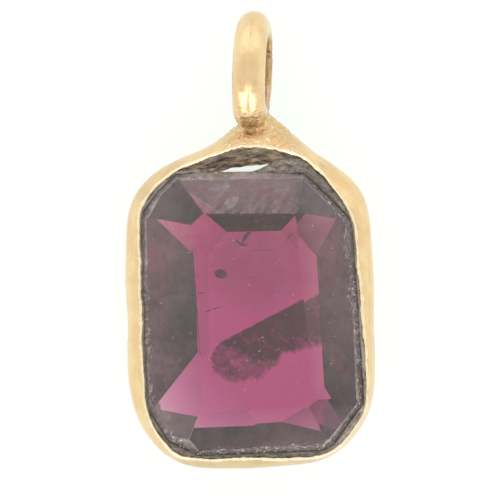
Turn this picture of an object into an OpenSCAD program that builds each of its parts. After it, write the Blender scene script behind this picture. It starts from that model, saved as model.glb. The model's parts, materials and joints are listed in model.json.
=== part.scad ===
// Faceted gemstone charm: a cut-cornered step-cut stone in a hand-made gold collet with a fixed loop.
// It lies on its open back, in millimetres: +Z is its face, +Y runs from the stone to the loop.
// The origin is under the middle of the whole charm, on the plane that it rests on.

/* [Collet] */
// Height of the collet, from its open back to the top of its rim
collet_h = 3.42; // [3.3:0.02:3.6]
// Height at which the collet stands out widest
belly_h = 2.1; // [1.8:0.1:2.3]
// How far the band leans in from its belly down to its back
taper = 0.7; // [0.4:0.05:0.9]
// Thickness of the gold band
band_t = 0.34; // [0.3:0.02:0.4]
// Width of the burnished edge that is rubbed over the stone
edge_w = 0.12; // [0.08:0.01:0.16]
// Height of the hand-made waves along the band and its edge
wave = 0.025; // [0:0.005:0.04]

/* [Solder shoulders] */
// How far the left shoulder climbs the loop
left_climb = 0.8; // [0.6:0.05:1]
// How far the right shoulder climbs the loop
right_climb = 1.25; // [0.8:0.05:1.4]
// Angle that the left shoulder takes up along the collet
left_spread = 16; // [12:1:20]
// Angle that the right shoulder takes up along the collet
right_spread = 20; // [14:1:24]
// Half the height of the shoulders, from their ridge to where they die out
shoulder_h = 1.5; // [1.2:0.1:1.6]

/* [Loop] */
// Outer diameter of the loop
loop_d = 5.88; // [5.4:0.02:6.2]
// Diameter of the hole through the loop
hole_d = 3.62; // [3.2:0.02:3.8]
// Width of the half-round strip that the loop is bent from
strip_w = 1.62; // [1.4:0.02:1.8]
// Rounding of the strip's edges around the hole
strip_edge = 0.14; // [0.08:0.02:0.2]
// Angle by which the loop is twisted off the middle line
loop_twist = 5; // [0:0.2:6]
// Angle by which the loop leans to the right
loop_lean = 2; // [0:0.2:3]
// Place of the loop to the right of the middle line
loop_x = 0.12; // [0:0.02:0.3]
// Place of the loop's centre above the middle of the charm
loop_y = 8.28; // [8.2:0.02:8.34]

/* [Stone] */
// How far the stone's girdle sits below the top of the rim
seat_drop = 0.67; // [0.66:0.01:0.75]
// Thickness of the girdle
girdle_t = 0.2; // [0.16:0.01:0.2]
// Width of the worn edge above the girdle
worn_w = 0.34; // [0.28:0.02:0.4]
// Height from the worn edge up to the table
crown_h = 0.94; // [0.9:0.02:1]
// Depth of the pavilion below the girdle
pavilion_d = 2.04; // [1.9:0.02:2.1]

/* [Hidden] */
$fn = 64;

// Middle of the stone, below the middle of the whole charm
stone_y = -3.11;
girdle_z = collet_h - seat_drop;

// A row for each side of the collet. Facing is the angle it looks towards, and reach is how far it stands
// from the middle of the stone, for the inner line of the rim and for the band at its belly.
rim_facing = 0;
rim_reach = 1;
band_facing = 2;
band_reach = 3;
collet_sides = [
    [  4.7, 5.36,   2,   6.10],  // right
    [ 41,   6.73,  42,   8.15],  // upper right corner
    [ 80,   7.62,  65,   8.23],  // right of the arched top
    [111,   7.37, 105,   7.86],  // left of the arched top
    [140,   7.22, 144,   7.95],  // upper left corner
    [181.5, 5.28, 181,   6.09],  // left
    [212,   7.18, 221,   8.12],  // lower left corner
    [270.5, 7.56, 273,   8.13],  // bottom
    [324,   7.68, 321,   8.17],  // lower right corner
];
rim_crispness = 24;
band_crispness = 14;

// A row for each ring of points up the outside of the band: its height, how far it has gone from the band's
// own line to the rim's line, and how far it is set in from that line.
row_z = 0;
row_blend = 1;
row_inset = 2;
outside = [
    [0,                                0,    taper + 0.09],
    [0.1,                              0,    taper],
    [belly_h * 0.3,                    0,    taper * 0.62],
    [belly_h * 0.55,                   0,    taper * 0.28],
    [belly_h * 0.8,                    0,    taper * 0.05],
    [belly_h,                          0,    0],
    [belly_h * 0.7 + collet_h * 0.3,   0.10, 0],
    [belly_h * 0.4 + collet_h * 0.6,   0.36, 0],
    [belly_h * 0.15 + collet_h * 0.85, 0.68, -edge_w * 0.3],
    [collet_h,                         1,    -edge_w],
];
// A row for each ring of points down the inside: its height, its room outside the rim's line, and its room
// inside the band's own line. The nearer of the two to the stone counts.
row_over_rim = 1;
row_in_band = 2;
far = 9;
inside = [
    [collet_h - 0.05,            0,    0.1],
    [collet_h - 0.2,             0,    0.12],
    [girdle_z + girdle_t + 0.06, 0.24, band_t * 0.7],
    [belly_h,                    far,  band_t],
    [belly_h * 0.5,              far,  band_t + taper * 0.35],
    [0.08,                       far,  band_t + taper],
    [0,                          far,  band_t + taper - 0.05],
];

// Angles around the collet at which its section is drawn, closer together along the shoulders
stations = [each [0:3:60], each [61.2:1.2:118.8], each [120:3:357]];

// A row for each side of the stone's outline: the angle it faces and how far it stands from the middle
facing = 0;
outer = 1;
inner = 2;
girdle_cuts = [
    [  3.5, 5.35],  // right
    [ 46,   6.50],  // upper right corner
    [ 90.5, 6.43],  // top
    [134,   7.15],  // upper left corner
    [144,   6.96],  // chip beside it
    [182,   5.37],  // left
    [213,   7.12],  // lower left corner
    [243,   7.92],  // chip beside it
    [272.5, 7.46],  // bottom
    [300,   8.15],  // chip beside the next
    [324,   7.48],  // lower right corner
];
// A row for each crown facet: its facing, its reach at the worn edge and its reach at the table
crown_cuts = [
    [  5.6, 5.01, 2.63],
    [ 46,   6.16, 4.75],
    [ 90,   6.09, 4.38],
    [134,   6.81, 4.73],
    [184,   5.06, 2.61],
    [214.7, 6.81, 5.01],
    [272.4, 7.12, 5.21],
    [326,   7.14, 5.21],
];
// A row for each pavilion facet: its facing, its reach under the girdle and its reach at the flat base. The
// corners are cut shallower than the sides, and two facets share the lower left one.
pavilion_cuts = [
    [  3.2, 5.35, 2.85],
    [ 43,   7.59, 3.52],
    [ 91.4, 6.40, 3.49],
    [140.2, 7.48, 3.09],
    [181.6, 5.37, 2.04],
    [219,   7.71, 3.00],
    [229,   7.84, 3.73],
    [274,   7.50, 5.27],
    [303.2, 9.70, 5.14],
];

function total(v, i = 0) = i < len(v) ? v[i] + total(v, i + 1) : 0;

// Distance, at one angle, to a rounded outline that straight sides hem in: crispness sharpens its corners
function outline(sides, facing_col, reach_col, crispness, a) =
    pow(
        total([for (s = sides) pow(max(0, cos(a - s[facing_col])) / s[reach_col], crispness)]),
        -1 / crispness
    );

// The inner line of the rim and the outer line of the band at an angle, each with its own hand-made waves
function rim_at(a) =
    outline(collet_sides, rim_facing, rim_reach, rim_crispness, a)
    + wave * (sin(13 * a) + 0.6 * sin(31 * a + 40));

function band_at(a) =
    outline(collet_sides, band_facing, band_reach, band_crispness, a)
    + wave * (sin(5 * a + 20) + 0.7 * sin(11 * a));

// The shoulders stand beside the loop, which takes up the angles between these two
right_flank = 84;
left_flank = 95;

function climb_at(a) =
    a < right_flank - right_spread || a > left_flank + left_spread ? 0
    : a < right_flank ? right_climb * pow(1 - (right_flank - a) / right_spread, 2)
    : a > left_flank ? left_climb * pow(1 - (a - left_flank) / left_spread, 2)
    : right_climb + (left_climb - right_climb) * (a - right_flank) / (left_flank - right_flank);

ridge_z = belly_h + 0.25;
function shoulder_at(a, z) = climb_at(a) * pow(max(0, 1 - pow((z - ridge_z) / shoulder_h, 2)), 1.5);

function outside_reach(a, row) =
    (1 - row[row_blend]) * band_at(a) + row[row_blend] * rim_at(a)
    - row[row_inset] + shoulder_at(a, row[row_z]);

function inside_reach(a, row) = min(rim_at(a) + row[row_over_rim], band_at(a) - row[row_in_band]);

function section_at(a) = concat(
    [for (row = outside) [outside_reach(a, row), row[row_z]]],
    [for (row = inside) [inside_reach(a, row), row[row_z]]]
);

// The collet and its shoulders: one closed skin, a ring of points for each row of the section
module collet() {
    sections = [for (a = stations) [for (p = section_at(a)) [p[0] * cos(a), p[0] * sin(a), p[1]]]];
    count = len(stations);
    size = len(outside) + len(inside);
    points = [for (s = sections) each s];
    faces = [
        for (i = [0:count - 1], j = [0:size - 1])
            let (here = i * size, next = ((i + 1) % count) * size, up = (j + 1) % size)
            each [[here + j, here + up, next + up], [here + j, next + up, next + j]]
    ];
    translate([0, stone_y, 0])
        polyhedron(points, faces, convexity = 6);
}

// Half-round strip, flat towards the hole
tube_r = strip_w / 2;
tube_at = loop_d / 2 - tube_r;
module strip() {
    hole_r = hole_d / 2;
    intersection() {
        translate([tube_at, 0])
            circle(tube_r);
        translate([tube_at, -tube_r])
            square([tube_r, strip_w]);
    }
    translate([hole_r + strip_edge, -tube_r])
        square([tube_at - hole_r - strip_edge, strip_w]);
    translate([hole_r, strip_edge - tube_r])
        square([tube_at - hole_r, strip_w - 2 * strip_edge]);
    for (side = [-1, 1])
        translate([hole_r + strip_edge, side * (tube_r - strip_edge)])
            circle(strip_edge);
}

// The loop stands on edge and rests on the same plane as the collet's back
module loop() {
    rest_z = tube_at * cos(loop_twist) + tube_r;
    translate([loop_x, loop_y, rest_z])
        rotate([0, 90 - loop_twist, -loop_lean])
            rotate_extrude()
                strip();
}

module setting() {
    color("#ecd09a")
        union() {
            collet();
            loop();
        }
}

// A slab that cuts away all that lies beyond one facet
slab = 30;
module facet_cut(face, reach, z, tilt) {
    translate([reach * cos(face), reach * sin(face), z])
        rotate([0, tilt, face])
            translate([-slab / 2, -slab / 2, 0])
                cube([slab, slab, slab / 2]);
}

girdle_top = girdle_z + girdle_t;
crown_z = girdle_top + worn_w;
module blank() {
    rough = 18;
    upright = 90;
    difference() {
        translate([-rough / 2, -rough / 2, girdle_z - pavilion_d])
            cube([rough, rough, pavilion_d + girdle_t + worn_w + crown_h]);
        for (cut = girdle_cuts)
            facet_cut(cut[facing], cut[outer], girdle_top, upright);
    }
}

module worn_blank() {
    worn_tilt = 45;
    difference() {
        blank();
        for (cut = girdle_cuts)
            facet_cut(cut[facing], cut[outer], girdle_top, worn_tilt);
    }
}

module crowned_blank() {
    difference() {
        worn_blank();
        for (cut = crown_cuts)
            facet_cut(cut[facing], cut[outer], crown_z, atan(crown_h / (cut[outer] - cut[inner])));
    }
}

module stone() {
    color("#9d4468")
        translate([0, stone_y, 0])
            difference() {
                crowned_blank();
                for (cut = pavilion_cuts)
                    let (lean = atan((cut[outer] - cut[inner]) / pavilion_d))
                    facet_cut(cut[facing], cut[outer], girdle_z, 90 + lean);
            }
}

setting();
stone();
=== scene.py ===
import json
import math
import random

import bpy
from mathutils import Matrix, Vector, noise
from mathutils.bvhtree import BVHTree

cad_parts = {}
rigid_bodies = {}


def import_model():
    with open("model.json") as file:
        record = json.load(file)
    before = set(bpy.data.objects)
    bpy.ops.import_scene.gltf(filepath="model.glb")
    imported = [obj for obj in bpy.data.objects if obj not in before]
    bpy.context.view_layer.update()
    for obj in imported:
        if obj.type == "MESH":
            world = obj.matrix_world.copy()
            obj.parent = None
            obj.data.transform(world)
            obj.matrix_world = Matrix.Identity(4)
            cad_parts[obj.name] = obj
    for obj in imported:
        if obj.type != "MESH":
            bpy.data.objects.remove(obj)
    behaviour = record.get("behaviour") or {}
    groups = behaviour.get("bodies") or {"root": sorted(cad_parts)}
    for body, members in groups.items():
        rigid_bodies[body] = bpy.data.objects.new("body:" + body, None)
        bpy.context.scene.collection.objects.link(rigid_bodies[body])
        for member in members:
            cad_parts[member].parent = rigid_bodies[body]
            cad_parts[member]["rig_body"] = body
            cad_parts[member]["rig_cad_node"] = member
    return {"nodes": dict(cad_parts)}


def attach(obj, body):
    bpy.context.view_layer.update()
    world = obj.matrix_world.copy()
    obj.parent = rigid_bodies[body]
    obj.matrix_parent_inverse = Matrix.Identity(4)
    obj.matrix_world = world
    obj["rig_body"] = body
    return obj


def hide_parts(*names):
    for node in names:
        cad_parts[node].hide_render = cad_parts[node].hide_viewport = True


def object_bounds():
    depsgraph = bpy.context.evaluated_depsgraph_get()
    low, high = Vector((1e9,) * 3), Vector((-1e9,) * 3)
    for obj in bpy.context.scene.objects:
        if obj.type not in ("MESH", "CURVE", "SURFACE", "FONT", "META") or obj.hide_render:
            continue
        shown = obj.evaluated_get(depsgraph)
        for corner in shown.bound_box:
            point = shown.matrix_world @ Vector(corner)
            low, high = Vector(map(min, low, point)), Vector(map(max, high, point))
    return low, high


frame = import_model()
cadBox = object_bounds()
random.seed(11)
mm = 0.001  # pieces are shaped with a millimetre as the unit, then brought down to metres
goldNode = frame["nodes"]["setting"]
stoneNode = frame["nodes"]["stone"]
graph = bpy.context.evaluated_depsgraph_get()
goldSkin = BVHTree.FromObject(goldNode, graph)  # both skins are for finding surfaces
stoneSkin = BVHTree.FromObject(stoneNode, graph)
stoneMiddle = -3.11  # the middle of the stone on the Y axis, in mm
above = 9  # mm: a height over the whole charm, to look down from
down = Vector((0, 0, -1))
aboutStone = 7  # mm: about half the stone's length, for noise and patterns that run around it
print("frame loaded")


# Colours and nodes
def linear(hexColour):
    parts = [int(hexColour[i:i + 2], 16) / 255 for i in (1, 3, 5)]
    return tuple(p / 12.92 if p <= 0.04045 else ((p + 0.055) / 1.055) ** 2.4 for p in parts) + (1,)


def wire(tree, node, wires):  # a node or an output is linked to the socket, and anything else is set on it
    for socket, value in wires.items():
        if isinstance(value, bpy.types.Node):
            value = value.outputs[0]
        if isinstance(value, bpy.types.NodeSocket):
            tree.links.new(value, node.inputs[socket])
        else:
            node.inputs[socket].default_value = value


def put(tree, kind, wires=None, **settings):
    node = tree.nodes.new(kind)
    for name, value in settings.items():
        setattr(node, name, value)
    wire(tree, node, wires or {})
    return node


def newMaterial(name):
    # Patterns are laid out in millimetres, so a texture's Scale says how many of its features fit in one
    material = bpy.data.materials.new(name)
    material.use_nodes = True
    tree = material.node_tree
    place = put(tree, "ShaderNodeTexCoord").outputs["Object"]
    inMm = put(tree, "ShaderNodeMapping", {"Vector": place, "Scale": (1 / mm, 1 / mm, 1 / mm)})
    return material, tree, tree.nodes["Principled BSDF"], inMm


# Numbers
def smooth(value, low, high):
    t = min(1, max(0, (value - low) / (high - low)))
    return t * t * (3 - 2 * t)


def along(stops, value):  # the value between two stops of a short table
    for (x0, y0), (x1, y1) in zip(stops, stops[1:]):
        if x0 <= value <= x1:
            return y0 + (y1 - y0) * (value - x0) / (x1 - x0)
    return stops[0][1] if value < stops[0][0] else stops[-1][1]


def near(value, middle, reach, soft):
    return 1 - smooth(abs(value - middle), reach, reach + soft)


def rough(p, layers):  # noise laid over noise: how many bumps to a mm, and how strong
    return sum(strength * noise.noise(p * perMm) for perMm, strength in layers)


def outward(a):
    return Vector((math.cos(a), math.sin(a), 0))


def aroundStone(a):
    return outward(a) * aboutStone


# Pieces
def pick(piece):
    if bpy.context.object and bpy.context.object.mode != "OBJECT":
        bpy.ops.object.mode_set(mode="OBJECT")
    bpy.ops.object.select_all(action="DESELECT")
    piece.select_set(True)
    bpy.context.view_layer.objects.active = piece


def applyPlace(piece):
    pick(piece)
    bpy.ops.object.transform_apply(location=True, rotation=True, scale=True)


def addModifier(piece, kind, **settings):
    pick(piece)
    modifier = piece.modifiers.new(kind.lower(), kind)
    for name, value in settings.items():
        setattr(modifier, name, value)
    bpy.ops.object.modifier_apply(modifier=modifier.name)


def finishPiece(piece, name, material, angle=None):
    piece.name = name
    piece.data.name = name
    piece.scale = (mm, mm, mm)
    applyPlace(piece)
    piece.data.materials.clear()
    piece.data.materials.append(material)
    if angle is None:
        bpy.ops.object.shade_smooth()
    else:
        bpy.ops.object.shade_smooth_by_angle(angle=math.radians(angle))
    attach(piece, "root")
    print(name, len(piece.data.polygons), "faces")
    return piece


def mergedCopy(node):
    weld = 0.0005  # mm: vertices closer than this become one
    pick(node)
    bpy.ops.object.duplicate()
    piece = bpy.context.object
    bpy.ops.object.parent_clear(type="CLEAR_KEEP_TRANSFORM")
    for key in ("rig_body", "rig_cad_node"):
        if key in piece:
            del piece[key]
    piece.scale = (1 / mm, 1 / mm, 1 / mm)
    applyPlace(piece)
    bpy.ops.object.mode_set(mode="EDIT")
    bpy.ops.mesh.select_all(action="SELECT")
    bpy.ops.mesh.remove_doubles(threshold=weld)
    bpy.ops.object.mode_set(mode="OBJECT")
    return piece


def joinAll(pieces):
    pick(pieces[0])
    for piece in pieces:
        piece.select_set(True)
    bpy.ops.object.join()
    return bpy.context.object


# Lines around the stone: distances from its middle at one height, read off the CAD nodes for each degree
def reaches(skin, height):
    middle = Vector((0, stoneMiddle, height)) * mm
    return [skin.ray_cast(middle, outward(math.radians(degree)))[3] / mm for degree in range(360)]


def at(line, a):
    degree = math.degrees(a) % 360
    low = int(degree)
    return line[low % 360] + (line[(low + 1) % 360] - line[low % 360]) * (degree - low)


def surfaceAt(x, y):
    where, normal, _, _ = stoneSkin.ray_cast(Vector((x, y, above)) * mm, down)
    return (where / mm, normal) if where else (None, None)


rimLine = reaches(goldSkin, 3.33)  # inner line of the rim
wallLine = reaches(goldSkin, 2.9)  # the wall behind the rim
girdleLine = reaches(stoneSkin, 2.94)  # widest outline of the stone
crownLine = reaches(stoneSkin, 3.285)  # where its worn edge meets the crown
crownHeight = (3.3, 4.2)  # mm: the crown facets rise from the first to the second


# Materials. In a Mix node of colours, sockets 6 and 7 are the two colours and output 2 is the result.
goldLook = {
    "clean": "#f1d6a4", "rosy": "#eac896", "rosyFrom": 0.72, "rosyTo": 0.98,
    # soil colours serve dirt and painted shade; grain paints glints on solder; the last is a painted-shade
    # brown
    "soilAndShade": "#c6b49c", "darkSoil": "#73675a", "grain": "#fff4dc", "paintedShade": "#8c7046",
    "gloss": 0.15, "satin": 0.28, "soiledAndShaded": 0.5, "soiledMetal": 0.2,
    # how many to a millimetre, and what is left of that along the strip
    "dents": 0.9, "specks": 5, "pits": 7, "hairlines": 9, "stripes": 2.2, "smears": 4,
    "lineAlong": 0.06, "smearAlong": 0.3,
    "stripeShare": 0.7, "smearShare": 0.3,  # how much they change the colour and the dirt
    # how deep, in metres
    "dentDepth": 0.00008, "lineDepth": 0.00001, "pitDepth": 0.00012,
    # how far from the crease's middle it ends and is full, and how far it wanders, in mm
    "creaseOuter": 0.045, "creaseInner": 0.012, "creaseWander": -0.12,
}


def creaseLine(tree, lay, dents, specks):
    # A fine broken crease runs along the middle of the loop's strip
    look = goldLook
    across = put(tree, "ShaderNodeSeparateXYZ", {0: lay}).outputs["X"]
    away = put(tree, "ShaderNodeMath", {0: dents, 1: look["creaseWander"], 2: across},
               operation="MULTIPLY_ADD")
    away = put(tree, "ShaderNodeMath", {0: away}, operation="ABSOLUTE")
    crease = put(tree, "ShaderNodeMapRange", {
        "Value": away, "From Min": look["creaseOuter"], "From Max": look["creaseInner"]})
    broken = put(tree, "ShaderNodeMapRange", {
        "Value": specks, "From Min": 0.42, "From Max": 0.6, "To Min": 0.15, "To Max": 0.4})
    creased = put(tree, "ShaderNodeAttribute", attribute_name="creased").outputs["Fac"]
    crease = put(tree, "ShaderNodeMath", {0: crease, 1: creased}, operation="MULTIPLY")
    return put(tree, "ShaderNodeMath", {0: crease, 1: broken}, operation="MULTIPLY")


def wornGold():
    # High-carat gold, forged, filed and worn for years: a warm pale mirror, softened by dents and by fine
    # polishing lines along the band, with brown dirt where nothing rubs it. Painted shade darkens the half
    # moon, the loop's back, the upper left corner, the lower end and a line along the loop's left edge, and
    # the solder's pits are painted near-white as glints
    look = goldLook
    material, tree, shader, spot = newMaterial("worn high-carat gold")
    lay = put(tree, "ShaderNodeAttribute", attribute_name="lay").outputs["Vector"]
    soilAndShade = put(tree, "ShaderNodeAttribute", attribute_name="soilAndShade").outputs["Fac"]
    onSolder = put(tree, "ShaderNodeAttribute", attribute_name="solder").outputs["Fac"]
    paintedShade = put(tree, "ShaderNodeAttribute", attribute_name="paintedShade").outputs["Fac"]
    dents = put(tree, "ShaderNodeTexNoise", {"Vector": spot, "Scale": look["dents"], "Detail": 3})
    specks = put(tree, "ShaderNodeTexNoise", {
        "Vector": spot, "Scale": look["specks"], "Detail": 5, "Roughness": 0.6})
    pits = put(tree, "ShaderNodeTexNoise", {
        "Vector": spot, "Scale": look["pits"], "Detail": 3, "Roughness": 0.7})
    long = look["lineAlong"]
    drawn = put(tree, "ShaderNodeMapping", {"Vector": lay, "Scale": (1, long, long)})
    lines = put(tree, "ShaderNodeTexNoise", {"Vector": drawn, "Scale": look["hairlines"], "Detail": 3})
    stripes = put(tree, "ShaderNodeTexNoise", {"Vector": drawn, "Scale": look["stripes"], "Detail": 3})
    warm = put(tree, "ShaderNodeMath", {0: stripes, 1: look["stripeShare"], 2: dents},
               operation="MULTIPLY_ADD")
    warm = put(tree, "ShaderNodeMapRange", {
        "Value": warm, "From Min": look["rosyFrom"], "From Max": look["rosyTo"]})
    metal = put(tree, "ShaderNodeMix", {0: warm, 6: linear(look["clean"]), 7: linear(look["rosy"])},
                data_type="RGBA")

    long = look["smearAlong"]
    smear = put(tree, "ShaderNodeMapping", {"Vector": lay, "Scale": (1, long, long)})
    smear = put(tree, "ShaderNodeTexNoise", {
        "Vector": smear, "Scale": look["smears"], "Detail": 5, "Roughness": 0.65})
    smear = put(tree, "ShaderNodeMapRange", {"Value": smear, "From Min": 0.38, "From Max": 0.62})
    dirt = put(tree, "ShaderNodeMix", {0: smear, 6: linear(look["soilAndShade"]), 7: linear(look["darkSoil"])},
               data_type="RGBA")
    patchy = put(tree, "ShaderNodeMath", {0: smear, 1: 0.5}, operation="SUBTRACT")
    patchy = put(tree, "ShaderNodeMath", {0: patchy, 1: look["smearShare"], 2: soilAndShade},
                 operation="MULTIPLY_ADD")
    soiledAndShaded = put(tree, "ShaderNodeMapRange", {"Value": patchy, "From Min": 0.2, "From Max": 0.9})
    soiledAndShaded = put(tree, "ShaderNodeMath", {0: creaseLine(tree, lay, dents, specks), 1: soiledAndShaded},
                 operation="ADD", use_clamp=True)
    # dirt colour, also laid as painted shade in the half moon, on the loop's back and along the loop's left
    # edge
    colour = put(tree, "ShaderNodeMix", {0: soiledAndShaded, 6: metal.outputs[2], 7: dirt.outputs[2]},
                 data_type="RGBA")

    # painted highlight: near-white glints laid on the solder's pits
    bright = put(tree, "ShaderNodeMapRange", {
        "Value": pits, "From Min": 0.57, "From Max": 0.66, "To Min": 0, "To Max": 0.85})
    bright = put(tree, "ShaderNodeMath", {0: bright, 1: onSolder}, operation="MULTIPLY")
    colour = put(tree, "ShaderNodeMix", {0: bright, 6: colour.outputs[2], 7: linear(look["grain"])},
                 data_type="RGBA")
    # painted shade: a darker brown in the half moon, on the loop's back, at the upper left corner and lower
    # end
    colour = put(tree, "ShaderNodeMix", {0: paintedShade, 6: colour.outputs[2], 7: linear(look["paintedShade"])},
                 data_type="RGBA")

    satin = put(tree, "ShaderNodeMapRange", {
        "Value": specks, "From Min": 0.3, "From Max": 0.7, "To Min": look["gloss"], "To Max": look["satin"]})
    roughness = put(tree, "ShaderNodeMix", {0: soiledAndShaded, 2: satin, 3: look["soiledAndShaded"]}, data_type="FLOAT")
    metallic = put(tree, "ShaderNodeMapRange", {"Value": soiledAndShaded, "To Min": 1, "To Max": look["soiledMetal"]})
    rises = put(tree, "ShaderNodeMath", {0: pits, 1: onSolder}, operation="MULTIPLY")
    bump = put(tree, "ShaderNodeBump", {"Height": dents, "Distance": look["dentDepth"], "Strength": 0.4})
    bump = put(tree, "ShaderNodeBump", {
        "Height": lines, "Distance": look["lineDepth"], "Strength": 0.5, "Normal": bump})
    bump = put(tree, "ShaderNodeBump", {
        "Height": rises, "Distance": look["pitDepth"], "Strength": 0.9, "Normal": bump})
    wire(tree, shader, {"Base Color": colour.outputs[2], "Roughness": roughness, "Metallic": metallic,
                        "Normal": bump})
    return material


# the colours are whiter than gold: a painted highlight along the rim
burnishedLook = {"pale": "#fff6da", "deep": "#fdeab8", "gloss": 0.14, "satin": 0.26, "depth": 0.00003}


def burnishedGold():
    # The same gold where a steel burnisher pressed it over the stone; its colour is whiter than gold, a
    # painted highlight that makes it the brightest line on the piece
    look = burnishedLook
    material, tree, shader, spot = newMaterial("burnished gold")
    grain = put(tree, "ShaderNodeTexNoise", {"Vector": spot, "Scale": 4, "Detail": 3})
    satin = put(tree, "ShaderNodeMapRange", {
        "Value": grain, "From Min": 0.3, "From Max": 0.7, "To Min": look["gloss"], "To Max": look["satin"]})
    colour = put(tree, "ShaderNodeMix", {0: grain, 6: linear(look["pale"]), 7: linear(look["deep"])},
                 data_type="RGBA")
    bump = put(tree, "ShaderNodeBump", {"Height": grain, "Distance": look["depth"], "Strength": 0.6})
    wire(tree, shader, {"Metallic": 1, "Base Color": colour.outputs[2], "Roughness": satin, "Normal": bump})
    return material


garnetLook = {
    "ior": 1.76, "perMm": (0.210, 0.79, 0.455),  # how strongly each millimetre takes up red, green and blue
    "bloom": 0.22,  # how much of the light a fully worn place stops
    "polish": 0.01, "frost": 0.08,  # roughness where it is clean and where it is fully worn
    "clean": "#fffafa", "rosyBloom": "#f0929e", "greyBloom": "#e4acb2", "heavyBloom": "#d2cac8",
    "heavyFrom": 0.75, "heavyTo": 1.3,
    # how many to a millimetre, and the way the scratches run
    "clouds": 0.55, "blotches": 2.4, "drifts": 0.8, "scratches": 1.5, "scratchTurn": -0.95,
    "fullest": 0.95,  # how much of the absorption's density goes to the colour that is taken up most
}


def wearPattern(tree, spot):
    # The piece's own wear, made cloudy and blotchy, and left out along slanting scratches
    look = garnetLook
    cloud = put(tree, "ShaderNodeTexNoise", {"Vector": spot, "Scale": look["clouds"], "Detail": 2})
    cloud = put(tree, "ShaderNodeMapRange", {
        "Value": cloud, "From Min": 0.35, "From Max": 0.65, "To Min": 0.6, "To Max": 1.15})
    blotch = put(tree, "ShaderNodeTexNoise", {
        "Vector": spot, "Scale": look["blotches"], "Detail": 6, "Roughness": 0.7})
    blotch = put(tree, "ShaderNodeMapRange", {
        "Value": blotch, "From Min": 0.35, "From Max": 0.65, "To Min": 0.62, "To Max": 1.22})
    wear = put(tree, "ShaderNodeAttribute", attribute_name="wear").outputs["Fac"]
    worn = put(tree, "ShaderNodeMath", {0: wear, 1: cloud}, operation="MULTIPLY")
    worn = put(tree, "ShaderNodeMath", {0: worn, 1: blotch}, operation="MULTIPLY")
    turned = put(tree, "ShaderNodeMapping", {"Vector": spot, "Rotation": (0, 0, look["scratchTurn"])})
    drawn = put(tree, "ShaderNodeMapping", {"Vector": turned, "Scale": (0.5, 1.7, 1)})
    scratch = put(tree, "ShaderNodeTexNoise", {
        "Vector": drawn, "Scale": look["scratches"], "Detail": 4, "Roughness": 0.6})
    scratch = put(tree, "ShaderNodeMapRange", {
        "Value": scratch, "From Min": 0.44, "From Max": 0.56, "To Min": 0.85, "To Max": 0})
    streaky = put(tree, "ShaderNodeAttribute", attribute_name="streaky").outputs["Fac"]
    scratch = put(tree, "ShaderNodeMath", {0: scratch, 1: streaky}, operation="MULTIPLY")
    kept = put(tree, "ShaderNodeMath", {0: 1.0, 1: scratch}, operation="SUBTRACT")
    return put(tree, "ShaderNodeMath", {0: worn, 1: kept}, operation="MULTIPLY")


def garnet():
    # Rhodolite garnet, cut and polished by hand: it swallows green, so thick places go plum and near black,
    # while years of wear leave a mottled, rosy-grey bloom of fine abrasion on its outer facets
    look = garnetLook
    material, tree, shader, spot = newMaterial("rhodolite garnet")
    worn = wearPattern(tree, spot)
    clear = put(tree, "ShaderNodeMath", {0: worn, 1: -look["bloom"], 2: 1}, operation="MULTIPLY_ADD")
    roughness = put(tree, "ShaderNodeMapRange", {
        "Value": worn, "To Min": look["polish"], "To Max": look["frost"]})
    rosy = put(tree, "ShaderNodeMix", {0: worn, 6: linear(look["clean"]), 7: linear(look["rosyBloom"])},
               data_type="RGBA")
    grey = put(tree, "ShaderNodeMix", {0: worn, 6: linear(look["clean"]), 7: linear(look["greyBloom"])},
               data_type="RGBA")
    drift = put(tree, "ShaderNodeTexNoise", {"Vector": spot, "Scale": look["drifts"], "Detail": 4})
    drift = put(tree, "ShaderNodeMapRange", {"Value": drift, "From Min": 0.42, "From Max": 0.58})
    tint = put(tree, "ShaderNodeMix", {0: drift, 6: rosy.outputs[2], 7: grey.outputs[2]}, data_type="RGBA")
    heavy = put(tree, "ShaderNodeMapRange", {
        "Value": worn, "From Min": look["heavyFrom"], "From Max": look["heavyTo"]})
    tint = put(tree, "ShaderNodeMix", {0: heavy, 6: tint.outputs[2], 7: linear(look["heavyBloom"])},
               data_type="RGBA")
    wire(tree, shader, {"IOR": look["ior"], "Base Color": tint.outputs[2], "Transmission Weight": clear,
                        "Roughness": roughness})
    density = max(look["perMm"]) / mm / look["fullest"]
    absorbed = tuple(1 - k / mm / density for k in look["perMm"]) + (1,)
    body = put(tree, "ShaderNodeVolumeAbsorption", {"Density": density, "Color": absorbed})
    wire(tree, tree.nodes["Material Output"], {"Volume": body})
    return material


dirtLook = {
    "low": "#4a4239", "high": "#a89e94", "crumb": "#e4dcd2",
    "lumps": 6, "crumbs": 7,  # to a millimetre
    "depth": 0.00008, "roughness": 0.7,
}


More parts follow.
